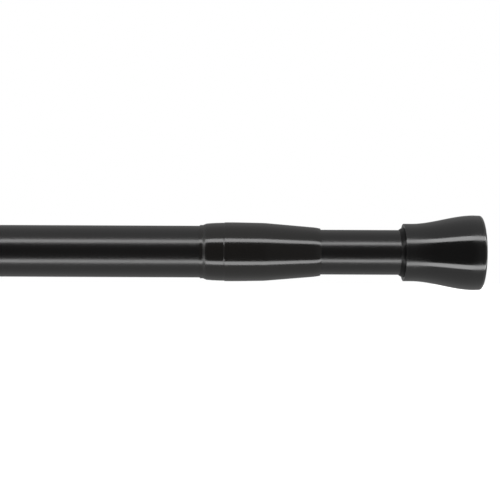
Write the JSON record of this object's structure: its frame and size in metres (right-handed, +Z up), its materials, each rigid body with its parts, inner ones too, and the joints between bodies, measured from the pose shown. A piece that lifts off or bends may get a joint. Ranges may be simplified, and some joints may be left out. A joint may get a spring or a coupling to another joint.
{
  "type": "shower curtain rod",
  "caption": "Black telescoping tension rod for a shower curtain, with a bulged collar, bell-shaped end covers, rubber wall pads, a twist lock and a spring inside.",
  "frame": {"origin": "centre of the face that the fixed end presses on its wall", "axes": "+X along the rod to the sliding end, +Z up, the picture looks along +Y"},
  "size_m": [1.1028, 0.04, 0.04],
  "materials": {
    "tube_enamel": "baked gloss black enamel",
    "collar_plastic": "moulded gloss black",
    "cover_plastic": "polished gloss black",
    "boot_rubber": "matte black rubber",
    "lock_nylon": "natural moulded nylon",
    "plated_steel": "zinc plated",
    "spring_steel": "drawn spring wire"
  },
  "bodies": {
    "outer": {"outer_tube": "tube_enamel", "transition_collar": "collar_plastic", "fixed_end_boot": "boot_rubber", "fixed_end_cover": "cover_plastic"},
    "wedge": {"lock_ring": "lock_nylon"},
    "stem": {"lock_stem": "lock_nylon", "ring_washer": "plated_steel", "ring_screw": "plated_steel", "stem_head": "lock_nylon", "stem_washer": "plated_steel", "stem_screw": "plated_steel"},
    "inner": {"inner_tube": "tube_enamel", "sliding_end_boot": "boot_rubber", "sliding_end_cover": "cover_plastic", "guide_bush": "lock_nylon", "guide_bush_rivets": "plated_steel", "spring_stop": "lock_nylon", "spring_stop_rivets": "plated_steel", "tension_spring": "spring_steel"}
  },
  "joints": [
    {"name": "telescope", "type": "slide", "parent": "outer", "child": "wedge", "axis": [1, 0, 0], "range_m": [0, 0.726]},
    {"name": "twist_lock", "type": "hinge", "parent": "wedge", "child": "stem", "pos_m": [0.0139, 0, 0.0015], "axis": [1, 0, 0], "range_deg": [-11.4, 11.4]},
    {"name": "spring_travel", "type": "slide", "parent": "stem", "child": "inner", "axis": [1, 0, 0], "range_m": [-0.036, 0], "stiffness_N_per_m": 1365, "springref_m": 0.025, "deforming": ["tension_spring"]}
  ]
}
